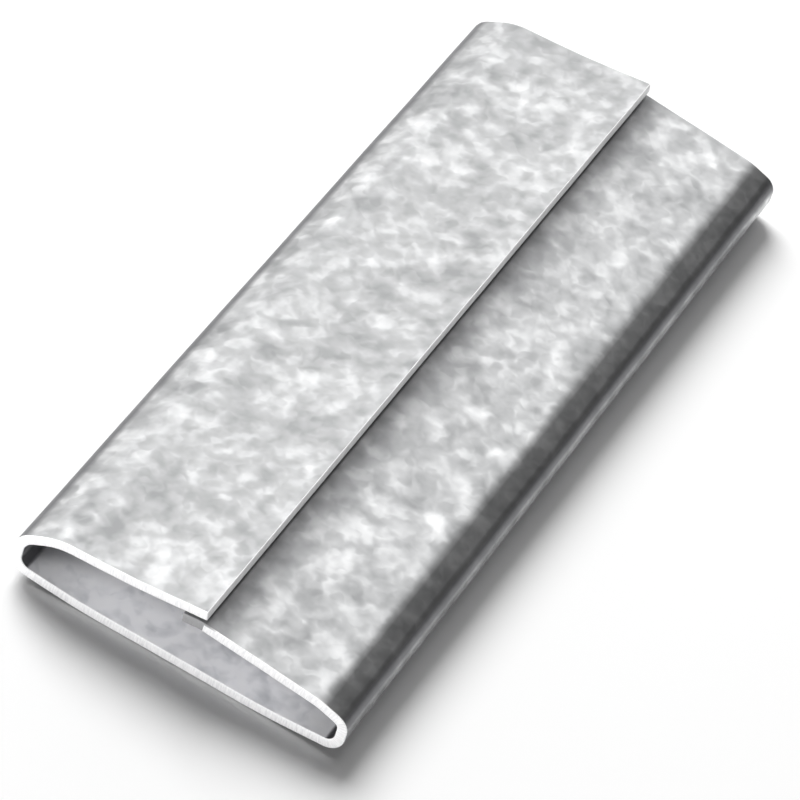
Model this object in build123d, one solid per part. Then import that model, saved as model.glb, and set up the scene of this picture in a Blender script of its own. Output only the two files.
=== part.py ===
from build123d import *
import os
from math import cos, radians, sin

# Push seal for steel strapping: one strip of galvanised sheet, folded round into a flat tube
# X runs across the seal, Y along the strap and Z up, with the origin under its middle on the surface it lies on
# All sizes are in millimetres and all angles in degrees

# Strip and tube
SEAL_LENGTH = 57.15        # along the strap, 2 1/4 in
SEAL_WIDTH = 22.0          # over both sides, for strap 19 mm (3/4 in) wide
SHEET = 0.64               # thickness of the sheet
EDGE_BREAK = 0.06          # rounding on the cut edges

# Back, which the seal lies on: a flat stripe that bends up gently towards each side
BACK_REACH = 4.5           # from each side in to the corner of its gentle bend
BACK_RISE = 0.42           # from the flat stripe up to the corner at each side
BACK_BEND = 32.0

# Side that carries the outer flap
OUTER_SIDE_HEIGHT = 3.05   # from the rest surface to the corner between side and shoulder
OUTER_FOOT_BEND = 1.3
OUTER_SIDE_BEND = 1.65
OUTER_SHOULDER_DROP = 0.86 # from the seam corner down to the corner of the shoulder
OUTER_SHOULDER_REACH = 2.45 # from the side in to the corner of the shoulder
OUTER_SHOULDER_BEND = 4.5

# Outer flap, which lifts a little on its way to the seam
SEAM_HEIGHT = 5.3          # top corner of its cut edge
SEAM_OFFSET = 1.2          # of that corner from the middle, towards the inner flap's side
FLAP_SLOPE = 7.4           # of the last stretch before the cut edge
FLAP_LIFT_RUN = 4.6        # from the cut edge back to the corner where the flap starts to lift
FLAP_LIFT_BEND = 55.0

# Side that carries the inner flap
INNER_SIDE_HEIGHT = 2.85
INNER_FOOT_BEND = 1.25
INNER_SIDE_BEND = 1.1
INNER_SHOULDER_HEIGHT = 3.55
INNER_SHOULDER_REACH = 2.0
INNER_SHOULDER_BEND = 4.0

# Inner flap, which tucks in under the outer one and turns down with it
OVERLAP = 1.55             # from the seam to its hidden edge
LAP_GAP = 0.25             # spring-back between the two flaps
CREST_RUN = 0.3            # from the seam back to the corner where it turns down
CREST_BEND = 3.5


def below_flap(run, depth):
    """Point of the section at a run back from the seam's top corner and a depth below the flap's top."""
    slope = radians(FLAP_SLOPE)
    x = SEAM_OFFSET - run * cos(slope) + depth * sin(slope)
    z = SEAM_HEIGHT - run * sin(slope) - depth * cos(slope)
    return (x, z)


def outer_corners():
    """Corners of the sheet's outer face and the bend at each, from the seam round the back to the hidden edge."""
    side = SEAL_WIDTH / 2
    back = side - BACK_REACH
    lap_depth = SHEET + LAP_GAP
    return [
        (below_flap(0, 0), 0),
        (below_flap(FLAP_LIFT_RUN, 0), FLAP_LIFT_BEND),
        ((OUTER_SHOULDER_REACH - side, SEAM_HEIGHT - OUTER_SHOULDER_DROP), OUTER_SHOULDER_BEND),
        ((-side, OUTER_SIDE_HEIGHT), OUTER_SIDE_BEND),
        ((-side, BACK_RISE), OUTER_FOOT_BEND),
        ((-back, 0), BACK_BEND),
        ((back, 0), BACK_BEND),
        ((side, BACK_RISE), INNER_FOOT_BEND),
        ((side, INNER_SIDE_HEIGHT), INNER_SIDE_BEND),
        ((side - INNER_SHOULDER_REACH, INNER_SHOULDER_HEIGHT), INNER_SHOULDER_BEND),
        (below_flap(CREST_RUN, lap_depth), CREST_BEND),
        (below_flap(OVERLAP, lap_depth), 0),
    ]


def face_of_sheet(depth):
    """Line of the sheet at a depth inside its outer face, with every bend about the same centre."""
    points = [Vector(*point) for point, bend in outer_corners()]
    bends = [bend for point, bend in outer_corners()]
    runs = [(end - start).normalized() for start, end in zip(points, points[1:])]
    inward = [run.rotate(Axis.Z, 90) for run in runs]
    line = [points[0] + inward[0] * depth]
    radii = []
    for index in range(1, len(points) - 1):
        before, after = inward[index - 1], inward[index]
        line.append(points[index] + (before + after) * (depth / (1 + before.dot(after))))
        turn = runs[index - 1].get_signed_angle(runs[index], Vector(0, 0, 1))
        radii.append(bends[index] - depth if turn > 0 else bends[index] + depth)
    line.append(points[-1] + inward[-1] * depth)
    return FilletPolyline(*line, radius=radii)


def folded_strip():
    """The section one sheet thick, carried along the whole seal."""
    with BuildPart() as strip:
        with BuildSketch(Plane.XZ):
            with BuildLine():
                outer = face_of_sheet(0)
                inner = face_of_sheet(SHEET)
                Line(outer @ 0, inner @ 0)
                Line(outer @ 1, inner @ 1)
            make_face()
        extrude(amount=SEAL_LENGTH / 2, both=True)
    return strip.part


def break_end_edges(strip):
    """Rounds the edges that the shears cut at the two ends of the tube."""
    ends = strip.faces().filter_by(Axis.Y)
    return fillet(ends.edges(), EDGE_BREAK)


push_seal = break_end_edges(folded_strip())

os.makedirs("parts", exist_ok=True)
export_step(push_seal, "parts/push_seal.step")
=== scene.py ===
from bisect import bisect_right
from math import acos, ceil, cos, exp, pi, radians, sin, tan

import bpy
from mathutils import Matrix, Vector, noise


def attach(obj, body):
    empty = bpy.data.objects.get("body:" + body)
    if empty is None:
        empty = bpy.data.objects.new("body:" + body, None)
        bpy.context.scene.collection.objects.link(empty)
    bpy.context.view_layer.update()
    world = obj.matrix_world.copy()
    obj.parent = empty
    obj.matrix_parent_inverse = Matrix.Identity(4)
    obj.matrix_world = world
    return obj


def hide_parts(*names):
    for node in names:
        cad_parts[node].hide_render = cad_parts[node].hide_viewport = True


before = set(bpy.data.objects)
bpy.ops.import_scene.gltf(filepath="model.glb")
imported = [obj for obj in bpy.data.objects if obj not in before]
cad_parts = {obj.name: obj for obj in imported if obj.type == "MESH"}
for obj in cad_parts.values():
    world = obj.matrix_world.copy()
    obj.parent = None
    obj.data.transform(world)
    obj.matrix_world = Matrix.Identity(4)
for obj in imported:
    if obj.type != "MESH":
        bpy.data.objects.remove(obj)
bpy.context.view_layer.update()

# Push seal for steel strapping: one strip of galvanised sheet, folded round into a flat tube
# X runs across the seal, Y along the strap and Z up, and the origin is under its middle on the floor
# Sizes are in millimetres and angles in degrees, and MM turns them into Blender's metres
MM = 0.001

# Strip and tube
LENGTH = 57.15             # along the strap
WIDTH = 22.0               # over both sides
SHEET = 0.64               # thickness of the sheet
EDGE_BREAK = 0.06          # rounding on the cut edges

# Back, which the seal lies on: a flat stripe that bends up gently towards each side
BACK_REACH = 4.5           # from each side in to the corner of its gentle bend
BACK_RISE = 0.42           # from the flat stripe up to the corner at each side
BACK_BEND = 32.0

# Side that carries the outer flap
OUTER_SIDE_HEIGHT = 3.05   # from the floor to the corner between side and shoulder
OUTER_FOOT_BEND = 1.3
OUTER_SIDE_BEND = 1.65
OUTER_SHOULDER_DROP = 0.86     # from the seam corner down to the corner of the shoulder
OUTER_SHOULDER_REACH = 2.45    # from the side in to the corner of the shoulder
OUTER_SHOULDER_BEND = 4.5

# Outer flap, which lifts a little on its way to the seam
SEAM_HEIGHT = 5.3          # top corner of its cut edge
SEAM_OFFSET = 1.2          # of that corner from the middle, towards the inner flap's side
FLAP_SLOPE = 7.4           # of the last stretch before the cut edge
FLAP_LIFT_RUN = 4.6        # from the cut edge back to the corner where the flap starts to lift
FLAP_LIFT_BEND = 55.0

# Side that carries the inner flap
INNER_SIDE_HEIGHT = 2.85
INNER_FOOT_BEND = 1.25
INNER_SIDE_BEND = 1.1
INNER_SHOULDER_HEIGHT = 3.55
INNER_SHOULDER_REACH = 2.0
INNER_SHOULDER_BEND = 4.0

# Inner flap, which tucks in under the outer one and turns down with it
OVERLAP = 1.55             # from the seam to its hidden edge
LAP_GAP = 0.25             # spring-back between the two flaps
CREST_RUN = 0.3            # from the seam back to the corner where it turns down
CREST_BEND = 3.5

# Fineness of the mesh
RUN_STEP = 0.5             # along a flat stretch of the section
TURN_STEP = 5              # of a bend, in degrees
STATION_STEP = 0.6         # along the seal
ROUND_STEPS = 3            # in a rounded edge
SUPPORT = 0.02             # band beside a rounded edge, which keeps the shading of the face flat
WELD_REACH = 0.0001        # points of the end faces that meet within this distance are one
INSIDE_ASIDE = 100         # from the outside's place in the flat map to the inside's

# Unevenness of pressed sheet: its depth, its bumps per millimetre and its reach from a cut edge
SWELL = 0.022
SWELL_WAVES = 0.16
SHEAR_WANDER = 0.05
SHEAR_WAVES = 0.35
SHEAR_WAVE_SHARE = 0.4
SHEAR_BITES = 3.0
SHEAR_BITE_SHARE = 0.1
SHEAR_FADE = 3.0
SEAM_WANDER = 0.03
SEAM_WAVES = 0.25
SEAM_FADE = 2.0

# Slices of the noise, one for each use, so that no two of them look alike
SWELL_SLICE = 3.0
SHEAR_SLICE = 9.0
BITE_SLICE = 5.0
SEAM_SLICE = 4.0

# Order of the materials on the mesh
OUTSIDE = 0
INSIDE = 1
CUT = 2

# Wear, and painted shade in the tight bends, beside the seam, under the outer flap and in the corners
# inside
TIGHT_BEND = 2.0           # in bends below this radius the zinc is stretched and its colour painted darker as shade
BEND_FADE = 0.45           # from the end of such a bend to where the zinc is stretched fully
ROLLED_TILTS = (0.14, 0.33)    # sideways parts of a face's direction between which it is rubbed more
SEAM_SHADE_REACH = 1.7          # of the painted shade beside the seam
CORNER_SHADE_REACH = 2.4         # of the painted shade in the corners inside
CORNER_SHADE_SHARE = 0.6         # share of the painted shade there

# Tone of the zinc: spots per millimetre of each layer, its range of values and its share
WAVE_SPOTS = 1.1           # noise that bends the outlines of flakes and strokes
WAVE_SHIFT = 0.8
FLAKES = ((25, 2.0, 0.85), (80, 1.7, 0.8), (145, 2.1, 0.95))   # angle, length and width
FLAKE_RANGE = (0.5, 2.55)
FLAKE_SHARE = 0.42
STROKE_ANGLES = (35, 125)
STROKE_SPOTS = (0.45, 1.25)    # along and across the strokes
STROKE_RANGE = (0.28, 0.74)
STROKE_SHARE = 0.20
LIE_SPOTS = 0.8            # areas in which the strokes lie at the one or the other angle
LIE_RANGE = (0.44, 0.56)
PATCH_SPOTS = 0.75
PATCH_RANGE = (0.25, 0.75)
PATCH_SHARE = 0.22
CLOUD_SPOTS = 0.33
CLOUD_RANGE = (0.30, 0.70)
CLOUD_SHARE = 0.16
GRAIN_SPOTS = 4.0
GRAIN_SHARE = 0.05

# Colours of the zinc at its darkest, middle and brightest tone, and how it shines
TONE_STOPS = (0.10, 0.50, 0.90)
OUTSIDE_SHADES = ((0.35, 0.355, 0.36), (0.53, 0.535, 0.54), (0.81, 0.815, 0.82))
OUTSIDE_METAL = 0.55
OUTSIDE_ROUGHNESS = 0.39
# Inside of the tube: a lighter copy of the zinc, painted light where little lamp light reaches
INSIDE_LIT_SHADES = ((0.62, 0.63, 0.66), (0.92, 0.92, 0.945), (0.98, 0.98, 0.99))
INSIDE_METAL = 0.3
INSIDE_ROUGHNESS = 0.47
RUBBED_METAL = 0.95
# Stretched zinc in the tight bends, darkened further there as painted shade
STRETCHED_AND_SHADED_COLOUR = (0.2, 0.2, 0.21)
STRETCHED_AND_SHADED_DEPTH = 0.9
# Painted shade beside the seam, under the outer flap and in the corners inside
PAINTED_SHADE_COLOUR = (0.10, 0.10, 0.105)
PAINTED_SHADE_DEPTH = 0.7

# What each of them adds to the roughness of the zinc
TONE_ROUGHNESS = -0.06
STRETCHED_ROUGHNESS = 0.14
RUBBED_ROUGHNESS = -0.065
GRAIN_ROUGHNESS = 0.05

# Relief of the zinc
RELIEF = 0.008
RELIEF_STRENGTH = 0.5
RUBBED_RELIEF_STRENGTH = 0.1
GRAIN_RELIEF_SHARE = 0.03

# Cut edges, with streaks that the shears dragged through the steel
SHEARED_STOPS = (0.25, 0.65)
# Colours of the bright cut steel, made near white as a painted highlight on the edges
SHEARED_LIT_SHADES = ((0.80, 0.80, 0.81), (0.97, 0.97, 0.97))
SHEARED_METAL = 0.05
SHEARED_ROUGHNESS = 0.5
DRAG_SPOTS = (9.0, 1.5)    # across the strip and along it
DRAG_RELIEF = 0.01
DRAG_STRENGTH = 0.25
# Painted shade on the inner flap's cut edge where the outer flap hides it
HIDDEN_PAINTED_SHADE = (0.12, 0.12, 0.125)
HIDDEN_SHADE_RANGE = (0.8, 1.0)  # of painted shade, between which an edge counts as hidden
HIDDEN_SHADE_DEPTH = 0.75

# Camera, which looks down on the seam side with the picture turned a little
AZIMUTH = 15.62
ELEVATION = 44.23
ROLL = 18.0
DISTANCE = 325.0
AIM = (0.365, -1.453, 0.0)
LENS = 244.5
CLIP_START = 10.0
CLIP_END = 10000.0

# Floor, in metres
FLOOR_REACH = 3.0
FLOOR_WHITE = 0.95
FLOOR_GLOW = 0.06          # lifts the floor to white where it is seen as the background

# Lamps, in metres and watts, each with the direction from the seal to it
LAMP_DISTANCE = 1.0
KEY_DIRECTION = (-0.56, 0.48, 0.68)
KEY_SIZE = 0.66
KEY_POWER = 13.0
FRONT_DIRECTION = (-0.50, -0.68, 0.54)
FRONT_POWER = 11.0
SIDE_DIRECTION = (0.95, -0.10, 0.20)
SIDE_POWER = 3.0
FILL_SIZE = 0.6

# Soft panel that the top of the seal mirrors, with the directions between which it fades, as parts
# of a unit vector, and the levels that it has there
ROOM_LIGHT = 0.05
PANEL_LIGHT = 1.12
PANEL_RIGHT = (0.01, 0.16)
PANEL_LOW = (0.0, 0.25)
PANEL_FRONT = (0.25, 0.55)
PANEL_MIDDLE = (-0.32, 0.0)
MIDDLE_LEVELS = (0.42, 1.76)
PANEL_LEFT = (-0.62, -0.36)
LEFT_LEVELS = (1.0, 0.0)


def below_flap(run, depth):
    """Point of the section at a run back from the seam's top corner and a depth below the flap's top."""
    slope = radians(FLAP_SLOPE)
    across = SEAM_OFFSET - run * cos(slope) + depth * sin(slope)
    height = SEAM_HEIGHT - run * sin(slope) - depth * cos(slope)
    return Vector((across, height))


def outer_corners():
    """Corners of the outer face and the bend at each, from the seam round the back to the hidden edge."""
    side = WIDTH / 2
    back = side - BACK_REACH
    lap_depth = SHEET + LAP_GAP
    return [
        (below_flap(0, 0), 0),
        (below_flap(FLAP_LIFT_RUN, 0), FLAP_LIFT_BEND),
        (Vector((OUTER_SHOULDER_REACH - side, SEAM_HEIGHT - OUTER_SHOULDER_DROP)), OUTER_SHOULDER_BEND),
        (Vector((-side, OUTER_SIDE_HEIGHT)), OUTER_SIDE_BEND),
        (Vector((-side, BACK_RISE)), OUTER_FOOT_BEND),
        (Vector((-back, 0)), BACK_BEND),
        (Vector((back, 0)), BACK_BEND),
        (Vector((side, BACK_RISE)), INNER_FOOT_BEND),
        (Vector((side, INNER_SIDE_HEIGHT)), INNER_SIDE_BEND),
        (Vector((side - INNER_SHOULDER_REACH, INNER_SHOULDER_HEIGHT)), INNER_SHOULDER_BEND),
        (below_flap(CREST_RUN, lap_depth), CREST_BEND),
        (below_flap(OVERLAP, lap_depth), 0),
    ]


def left_of(direction):
    """Direction from the outer face into the sheet, for someone who walks along the face."""
    return Vector((-direction.y, direction.x))


def share_between(low, high, value):
    """0 at low and below, 1 at high and above."""
    return min(1, max(0, (value - low) / (high - low)))


class Section:
    """Outer face as points at known distances along it, with the direction into the sheet at each."""

    def __init__(self):
        self.along = []
        self.points = []
        self.inward = []
        self.tight = []
        corners = outer_corners()
        start = corners[0][0]
        self.add(start, left_of((corners[1][0] - start).normalized()))
        for (before, _), (corner, bend), (after, _) in zip(corners, corners[1:], corners[2:]):
            self.add_bend((corner - before).normalized(), corner, (after - corner).normalized(), bend)
        self.add_run(corners[-1][0])
        self.length = self.along[-1]

    def add(self, point, inward):
        self.along.append(self.along[-1] + (point - self.points[-1]).length if self.points else 0.0)
        self.points.append(point)
        self.inward.append(inward)

    def add_run(self, end):
        """Straight run from the last point to an end."""
        start = self.points[-1]
        steps = max(1, ceil((end - start).length / RUN_STEP))
        for step in range(1, steps + 1):
            self.add(start.lerp(end, step / steps), self.inward[-1])

    def add_bend(self, arriving, corner, leaving, bend):
        """Straight run up to a corner and the bend that rounds it, noted where it is tight."""
        turn = acos(max(-1, min(1, arriving.dot(leaving))))
        bend_start = corner - arriving * bend * tan(turn / 2)
        self.add_run(bend_start)
        side = 1 if left_of(arriving).dot(leaving) > 0 else -1
        centre = bend_start + left_of(arriving) * bend * side
        spoke = bend_start - centre
        start = self.along[-1]
        steps = max(2, ceil(turn / radians(TURN_STEP)))
        for step in range(1, steps + 1):
            swung = Matrix.Rotation(turn * side * step / steps, 2) @ spoke
            self.add(centre + swung, -swung.normalized() * side)
        if bend < TIGHT_BEND:
            self.tight.append((start, self.along[-1]))

    def place(self, distance, depth):
        """Point at a distance along the outer face and a depth inside it."""
        index = min(max(bisect_right(self.along, distance) - 1, 0), len(self.along) - 2)
        share = (distance - self.along[index]) / (self.along[index + 1] - self.along[index])
        point = self.points[index].lerp(self.points[index + 1], share)
        return point + self.inward[index].lerp(self.inward[index + 1], share) * depth

    def painted_shade(self, distance, depth):
        """Painted shade: 1 on the inner flap under the seam, less on the way out, and some in the corners
        inside.
        """
        if distance > self.length - OVERLAP:
            return 1
        if depth > SHEET / 2:
            away = min(max(start - distance, distance - end, 0) for start, end in self.tight)
            return CORNER_SHADE_SHARE * exp(-(away / CORNER_SHADE_REACH) ** 2)
        away = (self.place(distance, 0) - below_flap(0, SHEET + LAP_GAP)).length
        return exp(-(away / SEAM_SHADE_REACH) ** 2) if distance > self.length / 2 else 0

    def burnish(self, distance):
        """1 on the shoulders and sides, which the forming rolls rubbed smooth, and 0 on the flat faces."""
        tilt = abs((self.place(distance, 1) - self.place(distance, 0)).x)
        share = share_between(*ROLLED_TILTS, tilt)
        return share * share * (3 - 2 * share)

    def strain_and_shade(self, distance):
        """1 well inside a tight bend, where the zinc is stretched and its colour painted darker as shade,
        and 0 at its ends and beyond.
        """
        within = max(min(distance - start, end - distance) for start, end in self.tight)
        return share_between(0, BEND_FADE, within)


def strip_loop(section, inset):
    """Outline of the strip's own cross-section as (distance, depth, is_cut), inset evenly all round.

    The number of points on each of its two broad faces comes second.
    """
    length = section.length
    corner = EDGE_BREAK - inset
    near = EDGE_BREAK
    far = length - EDGE_BREAK
    shallow = EDGE_BREAK
    deep = SHEET - EDGE_BREAK
    between = [distance for distance in section.along if near + SUPPORT < distance < far - SUPPORT]
    face = [near, near + SUPPORT] + between + [far - SUPPORT, far]
    quarter = [pi / 2 * step / ROUND_STEPS for step in range(1, ROUND_STEPS)]
    loop = [(distance, inset, False) for distance in face]
    loop += [(far + corner * sin(angle), shallow - corner * cos(angle), True) for angle in quarter]
    loop += [(length - inset, shallow, True), (length - inset, deep, True)]
    loop += [(far + corner * cos(angle), deep + corner * sin(angle), True) for angle in quarter]
    loop += [(distance, SHEET - inset, False) for distance in reversed(face)]
    loop += [(near - corner * sin(angle), deep + corner * cos(angle), True) for angle in quarter]
    loop += [(inset, deep, True), (inset, shallow, True)]
    loop += [(near - corner * cos(angle), shallow - corner * sin(angle), True) for angle in quarter]
    return loop, len(face)


def stations():
    """Places along the seal as (y, inset), from one end face to the other, with the rounding at both."""
    half = LENGTH / 2
    flat = half - EDGE_BREAK - SUPPORT
    ends = []
    for step in range(ROUND_STEPS + 1):
        angle = pi / 2 * step / ROUND_STEPS
        ends.append((half - EDGE_BREAK + EDGE_BREAK * cos(angle), EDGE_BREAK * (1 - sin(angle))))
    ends.append((flat, 0))
    steps = ceil(2 * flat / STATION_STEP)
    between = [(-flat + 2 * flat * step / steps, 0) for step in range(1, steps)]
    return [(-y, inset) for y, inset in ends] + between + [(y, inset) for y, inset in reversed(ends)]


def hollow(distance, y):
    """How far the sheet lies inside its true face, never outside it, so that the seal fits its box."""
    place = Vector((distance, y, SWELL_SLICE)) * SWELL_WAVES
    return SWELL * share_between(-0.5, 0.5, noise.noise(place))


def shear_wander(distance, y):
    """Shift of a sheared end, always inwards, which fades out along the seal."""
    end = 1 if y > 0 else -1
    share = max(0, 1 - (LENGTH / 2 - abs(y)) / SHEAR_FADE)
    waves = noise.noise(Vector((distance * SHEAR_WAVES, end * SHEAR_SLICE, 0)))
    bites = noise.noise(Vector((distance * SHEAR_BITES, end, BITE_SLICE)))
    rough = share_between(-0.5, 0.5, SHEAR_WAVE_SHARE * waves + SHEAR_BITE_SHARE * bites)
    return -end * share * SHEAR_WANDER * rough


def seam_wander(distance, y):
    """Shift of the outer flap's cut edge, always inwards, which fades out along the flap."""
    share = max(0, 1 - distance / SEAM_FADE)
    return share * SEAM_WANDER * (0.5 + 0.5 * noise.noise(Vector((y * SEAM_WAVES, SEAM_SLICE, 0))))


def sheet_points(section, rows, loops):
    """Points of the folded sheet in metres, and for each its (distance, y, depth) in the flat strip."""
    points = []
    flat = []
    for y, inset in rows:
        for distance, depth, _ in loops[inset][0]:
            spot = section.place(distance + seam_wander(distance, y), depth + hollow(distance, y))
            points.append((spot.x * MM, (y + shear_wander(distance, y)) * MM, spot.y * MM))
            flat.append((distance, y, depth))
    return points, flat


def sheet_faces(rows, loop, face_count):
    """Faces between the stations and over both ends, and whether each belongs to a cut edge."""
    size = len(loop)
    faces = []
    cut = []
    for row in range(len(rows) - 1):
        rounded = rows[row][1] > 0 or rows[row + 1][1] > 0
        this = row * size
        following = this + size
        for spot in range(size):
            after = (spot + 1) % size
            faces.append((this + spot, following + spot, following + after, this + after))
            cut.append(rounded or loop[spot][2] or loop[after][2])
    opposite = 2 * face_count + 2 * ROUND_STEPS - 1
    for start, is_first in ((0, True), ((len(rows) - 1) * size, False)):
        for spot in range(face_count - 1):
            outer = start + spot
            inner = start + opposite - spot
            face = (outer, inner, inner - 1, outer + 1)
            faces.append(face[::-1] if is_first else face)
            cut.append(True)
    return faces, cut


def paint(mesh, name, values):
    """Gives each point of the mesh a number, which the materials read."""
    layer = mesh.attributes.new(name, "FLOAT", "POINT")
    layer.data.foreach_set("value", values)


def finish_faces(mesh, flat, cut):
    """Smooth faces with their materials, and a map in millimetres of the strip before it was folded."""
    layer = mesh.uv_layers.new(name="sheet")
    for polygon, is_cut in zip(mesh.polygons, cut):
        mean_depth = sum(flat[point][2] for point in polygon.vertices) / len(polygon.vertices)
        is_inside = mean_depth > SHEET / 2
        polygon.use_smooth = True
        polygon.material_index = CUT if is_cut else INSIDE if is_inside else OUTSIDE
        for corner in polygon.loop_indices:
            distance, y, depth = flat[mesh.loops[corner].vertex_index]
            aside = INSIDE_ASIDE if is_inside else 0
            layer.data[corner].uv = (distance + aside, y + (depth if is_cut else 0))


def add_seal(materials):
    """The folded sheet, with materials for its outside, its inside and its cut edges, in that order."""
    section = Section()
    rows = stations()
    loops = {inset: strip_loop(section, inset) for _, inset in rows}
    points, flat = sheet_points(section, rows, loops)
    faces, cut = sheet_faces(rows, *loops[0])
    mesh = bpy.data.meshes.new("push_seal_sheet")
    mesh.from_pydata(points, [], faces)
    for material in materials:
        mesh.materials.append(material)
    paint(mesh, "strain_and_shade", [section.strain_and_shade(distance) for distance, _, _ in flat])
    paint(mesh, "painted_shade", [section.painted_shade(distance, depth) for distance, _, depth in flat])
    paint(mesh, "burnish", [section.burnish(distance) for distance, _, _ in flat])
    finish_faces(mesh, flat, cut)
    seal = bpy.data.objects.new("push_seal_sheet", mesh)
    bpy.context.collection.objects.link(seal)
    seal.modifiers.new("weld", "WELD").merge_threshold = WELD_REACH * MM
    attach(seal, "root")
    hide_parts("push_seal")
    return seal


def node(tree, kind, inputs=None, **settings):
    """Adds a shader node, sets it up and joins or fills its inputs."""
    made = tree.nodes.new("ShaderNode" + kind)
    for name, value in settings.items():
        setattr(made, name, value)
    for key, value in (inputs or {}).items():
        if isinstance(value, bpy.types.NodeSocket):
            tree.links.new(value, made.inputs[key])
        else:
            made.inputs[key].default_value = value
    return made


def maths(tree, operation, *values):
    return node(tree, "Math", dict(enumerate(values)), operation=operation).outputs[0]


def vector(tree, operation, *values):
    return node(tree, "VectorMath", dict(enumerate(values)), operation=operation).outputs[0]


def spread(tree, value, low, high, new_low=0.0, new_high=1.0):
    """Number that goes smoothly from one level to another while a value goes from low to high."""
    inputs = {"Value": value, "From Min": low, "From Max": high, "To Min": new_low, "To Max": new_high}
    return node(tree, "MapRange", inputs, interpolation_type="SMOOTHSTEP").outputs["Result"]


def blended(tree, share, first, second):
    """Number between two numbers. The node repeats its sockets' names, so they go by number."""
    return node(tree, "Mix", {0: share, 2: first, 3: second}).outputs[0]


def tinted(tree, share, colour, tint):
    """Colour with a share of a tint in it. The node repeats its sockets' names, so they go by number."""
    return node(tree, "Mix", {0: share, 6: colour, 7: (*tint, 1)}, data_type="RGBA").outputs[2]


def shaded(tree, value, places, shades):
    """Colour that a value picks from shades at their places."""
    made = node(tree, "ValToRGB", {"Fac": value})
    stops = made.color_ramp.elements
    for place in places[1:-1]:
        stops.new(place)
    for stop, place, shade in zip(stops, places, shades):
        stop.position = place
        stop.color = (*shade, 1)
    return made.outputs["Color"]


def turned(tree, place, angle):
    """Place turned about the flat strip's corner."""
    inputs = {"Vector": place, "Angle": radians(angle)}
    return node(tree, "VectorRotate", inputs, rotation_type="Z_AXIS").outputs[0]


def clouds(tree, place, spots, detail=1.0):
    """Outputs of soft noise with a number of spots per millimetre."""
    inputs = {"Vector": place, "Scale": spots, "Detail": detail}
    return node(tree, "TexNoise", inputs, noise_dimensions="2D").outputs


def painted(tree, name):
    """Number that the mesh has at each point."""
    return node(tree, "Attribute", attribute_name=name).outputs["Fac"]


def strip_place(tree):
    """Place in the strip before it was folded, in millimetres."""
    return node(tree, "UVMap", uv_map="sheet").outputs["UV"]


def new_material(name, colour, metallic, roughness):
    material = bpy.data.materials.new(name)
    material.use_nodes = True
    shader = material.node_tree.nodes["Principled BSDF"]
    shader.inputs["Base Color"].default_value = (*colour, 1)
    shader.inputs["Metallic"].default_value = metallic
    shader.inputs["Roughness"].default_value = roughness
    return material, material.node_tree, shader


def flakes(tree, place, angle, length, width):
    """Soft-edged patches of zinc, each with its own tone, that lie at an angle on the sheet."""
    scaled = vector(tree, "MULTIPLY", turned(tree, place, angle), (1 / length, 1 / width, 1))
    inputs = {"Vector": scaled, "Scale": 1.0, "Smoothness": 1.0}
    cells = node(tree, "TexVoronoi", inputs, voronoi_dimensions="2D", feature="SMOOTH_F1")
    return node(tree, "SeparateColor", {"Color": cells.outputs["Color"]}).outputs["Red"]


def strokes(tree, place, angle):
    """Faint streaks in the zinc that lie at an angle on the sheet."""
    drawn = vector(tree, "MULTIPLY", turned(tree, place, angle), (*STROKE_SPOTS, 1))
    return spread(tree, clouds(tree, drawn, 1.0, detail=0.5)["Fac"], *STROKE_RANGE)


def zinc_tone(tree, place, grain):
    """Tone of the zinc, from its dull ground to its bright flakes."""
    wave = clouds(tree, place, WAVE_SPOTS)["Color"]
    shift = vector(tree, "SUBTRACT", wave, (0.5, 0.5, 0.5))
    bent = vector(tree, "MULTIPLY_ADD", shift, (WAVE_SHIFT, WAVE_SHIFT, 0), place)
    first, second, third = (flakes(tree, bent, *layer) for layer in FLAKES)
    layers = maths(tree, "ADD", first, maths(tree, "ADD", second, third))
    lie = spread(tree, clouds(tree, place, LIE_SPOTS)["Fac"], *LIE_RANGE)
    crossing = blended(tree, lie, *(strokes(tree, bent, angle) for angle in STROKE_ANGLES))
    patch = spread(tree, clouds(tree, place, PATCH_SPOTS)["Fac"], *PATCH_RANGE)
    cloud = spread(tree, clouds(tree, place, CLOUD_SPOTS, detail=3.0)["Fac"], *CLOUD_RANGE)
    tone = maths(tree, "MULTIPLY", spread(tree, layers, *FLAKE_RANGE), FLAKE_SHARE)
    tone = maths(tree, "MULTIPLY_ADD", crossing, STROKE_SHARE, tone)
    tone = maths(tree, "MULTIPLY_ADD", patch, PATCH_SHARE, tone)
    tone = maths(tree, "MULTIPLY_ADD", cloud, CLOUD_SHARE, tone)
    return maths(tree, "MULTIPLY_ADD", grain, GRAIN_SHARE, tone)


def zinc_colour(tree, tone, shades, strain_and_shade):
    """Shades of the zinc by its tone, dull and painted darker as shade in the tight bends, and painted dark
    as shade beside the seam, under the outer flap and in the corners inside.
    """
    colour = shaded(tree, tone, TONE_STOPS, shades)
    # Stretched zinc in the tight bends, darkened further as painted shade
    dull = maths(tree, "MULTIPLY", strain_and_shade, STRETCHED_AND_SHADED_DEPTH)
    # Painted shade beside the seam, under the outer flap and in the corners inside
    shade_share = maths(tree, "MULTIPLY", painted(tree, "painted_shade"), PAINTED_SHADE_DEPTH)
    return tinted(tree, shade_share, tinted(tree, dull, colour, STRETCHED_AND_SHADED_COLOUR), PAINTED_SHADE_COLOUR)


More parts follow.
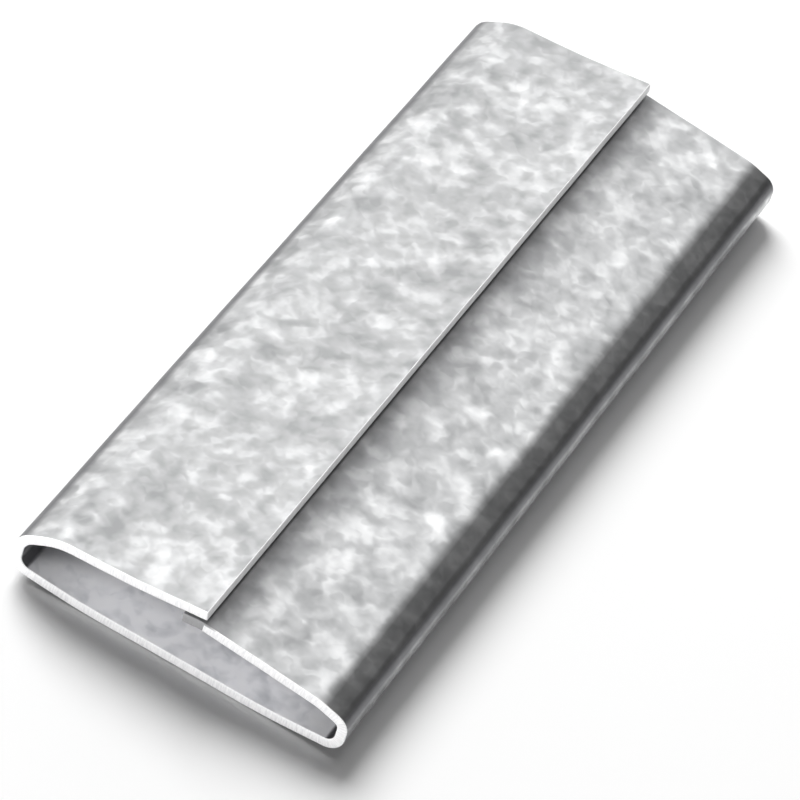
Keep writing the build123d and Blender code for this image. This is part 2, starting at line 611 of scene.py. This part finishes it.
def galvanised(name, shades, metallic, roughness):
    """Zinc with soft flakes, dull and painted darker as shade in the tight bends, rubbed by the forming
    rolls and painted dark as shade in places.
    """
    material, tree, shader = new_material(name, shades[1], metallic, roughness)
    place = strip_place(tree)
    strain_and_shade = painted(tree, "strain_and_shade")
    burnish = painted(tree, "burnish")
    grain = clouds(tree, place, GRAIN_SPOTS)["Fac"]
    tone = zinc_tone(tree, place, grain)
    metal = maths(tree, "MULTIPLY_ADD", burnish, RUBBED_METAL - metallic, metallic)
    rough = maths(tree, "MULTIPLY_ADD", tone, TONE_ROUGHNESS, roughness)
    rough = maths(tree, "MULTIPLY_ADD", strain_and_shade, STRETCHED_ROUGHNESS, rough)
    rough = maths(tree, "MULTIPLY_ADD", burnish, RUBBED_ROUGHNESS, rough)
    rough = maths(tree, "MULTIPLY_ADD", grain, GRAIN_ROUGHNESS, rough)
    height = maths(tree, "MULTIPLY_ADD", grain, GRAIN_RELIEF_SHARE, tone)
    flattening = RUBBED_RELIEF_STRENGTH - RELIEF_STRENGTH
    strength = maths(tree, "MULTIPLY_ADD", burnish, flattening, RELIEF_STRENGTH)
    bump = node(tree, "Bump", {"Strength": strength, "Distance": RELIEF * MM, "Height": height})
    tree.links.new(zinc_colour(tree, tone, shades, strain_and_shade), shader.inputs["Base Color"])
    tree.links.new(metal, shader.inputs["Metallic"])
    tree.links.new(rough, shader.inputs["Roughness"])
    tree.links.new(bump.outputs["Normal"], shader.inputs["Normal"])
    return material


def sheared():
    """Cut edges of bright steel painted near white as a highlight, with fine streaks, and painted dark as
    shade where the inner flap is hidden.
    """
    bright = SHEARED_LIT_SHADES[1]
    material, tree, shader = new_material("sheared_edge", bright, SHEARED_METAL, SHEARED_ROUGHNESS)
    dragged = vector(tree, "MULTIPLY", strip_place(tree), (*DRAG_SPOTS, 0))
    streak = clouds(tree, dragged, 1.0, detail=3.0)["Fac"]
    colour = shaded(tree, streak, SHEARED_STOPS, SHEARED_LIT_SHADES)
    # Painted shade on the cut edge that the outer flap hides
    hidden = spread(tree, painted(tree, "painted_shade"), *HIDDEN_SHADE_RANGE)
    shade_share = maths(tree, "MULTIPLY", hidden, HIDDEN_SHADE_DEPTH)
    bump = node(tree, "Bump", {"Strength": DRAG_STRENGTH, "Distance": DRAG_RELIEF * MM, "Height": streak})
    tree.links.new(tinted(tree, shade_share, colour, HIDDEN_PAINTED_SHADE), shader.inputs["Base Color"])
    tree.links.new(bump.outputs["Normal"], shader.inputs["Normal"])
    return material


def add_camera():
    """Camera that aims at the seal from its azimuth and elevation, turned by its roll."""
    azimuth = radians(AZIMUTH)
    elevation = radians(ELEVATION)
    roll = radians(ROLL)
    back = Vector((sin(azimuth) * cos(elevation), -cos(azimuth) * cos(elevation), sin(elevation)))
    level = Vector((cos(azimuth), sin(azimuth), 0))
    upright = back.cross(level)
    right = level * cos(roll) + upright * sin(roll)
    up = upright * cos(roll) - level * sin(roll)
    data = bpy.data.cameras.new("camera")
    data.lens = LENS
    data.clip_start = CLIP_START * MM
    data.clip_end = CLIP_END * MM
    camera = bpy.data.objects.new("camera", data)
    bpy.context.collection.objects.link(camera)
    turn = Matrix((right, up, back)).transposed().to_4x4()
    camera.matrix_world = Matrix.Translation((Vector(AIM) + back * DISTANCE) * MM) @ turn
    bpy.context.scene.camera = camera


def sees_background(tree):
    """1 for rays from the camera, from gloss and through glass."""
    path = node(tree, "LightPath").outputs
    direct = maths(tree, "MAXIMUM", path["Is Camera Ray"], path["Is Glossy Ray"])
    return maths(tree, "MAXIMUM", direct, path["Is Transmission Ray"])


def add_floor():
    """White floor that takes the seal's shadow."""
    corners = [(-1, -1), (1, -1), (1, 1), (-1, 1)]
    mesh = bpy.data.meshes.new("floor")
    mesh.from_pydata([(x * FLOOR_REACH, y * FLOOR_REACH, 0) for x, y in corners], [], [(0, 1, 2, 3)])
    floor = bpy.data.objects.new("floor", mesh)
    bpy.context.collection.objects.link(floor)
    material, tree, shader = new_material("floor", (FLOOR_WHITE, FLOOR_WHITE, FLOOR_WHITE), 0, 1)
    shader.inputs["Specular IOR Level"].default_value = 0
    shader.inputs["Emission Color"].default_value = (1, 1, 1, 1)
    glow = maths(tree, "MULTIPLY", sees_background(tree), FLOOR_GLOW)
    tree.links.new(glow, shader.inputs["Emission Strength"])
    mesh.materials.append(material)


def add_lamp(name, direction, size, power):
    """Soft round lamp that faces the seal."""
    data = bpy.data.lights.new(name, "AREA")
    data.shape = "DISK"
    data.size = size
    data.energy = power
    lamp = bpy.data.objects.new(name, data)
    bpy.context.collection.objects.link(lamp)
    towards = Vector(direction).normalized()
    lamp.location = towards * LAMP_DISTANCE
    lamp.rotation_euler = towards.to_track_quat("Z", "Y").to_euler()
    return lamp


def add_lamps(seal):
    """Key lamp behind on the left, which casts the shadow, and two fill lamps on the seal alone.

    The fill lamps leave out the floor, where they would wash that shadow out. The key lamp and the
    front one don't show in the metal, which mirrors the panel instead.
    """
    key = add_lamp("key", KEY_DIRECTION, KEY_SIZE, KEY_POWER)
    front = add_lamp("front", FRONT_DIRECTION, FILL_SIZE, FRONT_POWER)
    side = add_lamp("side", SIDE_DIRECTION, FILL_SIZE, SIDE_POWER)
    only_seal = bpy.data.collections.new("seal")
    only_seal.objects.link(seal)
    for lamp in (front, side):
        lamp.light_linking.receiver_collection = only_seal
    for lamp in (key, front):
        lamp.visible_glossy = False


def add_world():
    """Dim room with one large soft panel overhead at the back, which the top of the seal mirrors."""
    world = bpy.data.worlds.new("studio")
    bpy.context.scene.world = world
    world.use_nodes = True
    tree = world.node_tree
    towards = node(tree, "SeparateXYZ", {"Vector": node(tree, "TexCoord").outputs["Generated"]}).outputs
    middle = spread(tree, towards["X"], *PANEL_MIDDLE, *MIDDLE_LEVELS)
    left = spread(tree, towards["X"], *PANEL_LEFT, *LEFT_LEVELS)
    panel = maths(tree, "ADD", middle, left)
    panel = maths(tree, "MULTIPLY", panel, spread(tree, towards["X"], *PANEL_RIGHT, 1, 0))
    panel = maths(tree, "MULTIPLY", panel, spread(tree, towards["Y"], *PANEL_FRONT))
    panel = maths(tree, "MULTIPLY", panel, spread(tree, towards["Z"], *PANEL_LOW))
    light = maths(tree, "MULTIPLY_ADD", panel, PANEL_LIGHT - ROOM_LIGHT, ROOM_LIGHT)
    background = tree.nodes["Background"]
    background.inputs["Color"].default_value = (1, 1, 1, 1)
    tree.links.new(light, background.inputs["Strength"])


add_camera()
add_floor()
add_world()
outside = galvanised("galvanised", OUTSIDE_SHADES, OUTSIDE_METAL, OUTSIDE_ROUGHNESS)
# Inside of the tube in a lighter copy of the zinc, painted light where little lamp light reaches
inside = galvanised("galvanised_inside", INSIDE_LIT_SHADES, INSIDE_METAL, INSIDE_ROUGHNESS)
add_lamps(add_seal([outside, inside, sheared()]))
bpy.context.scene.view_settings.view_transform = "Standard"
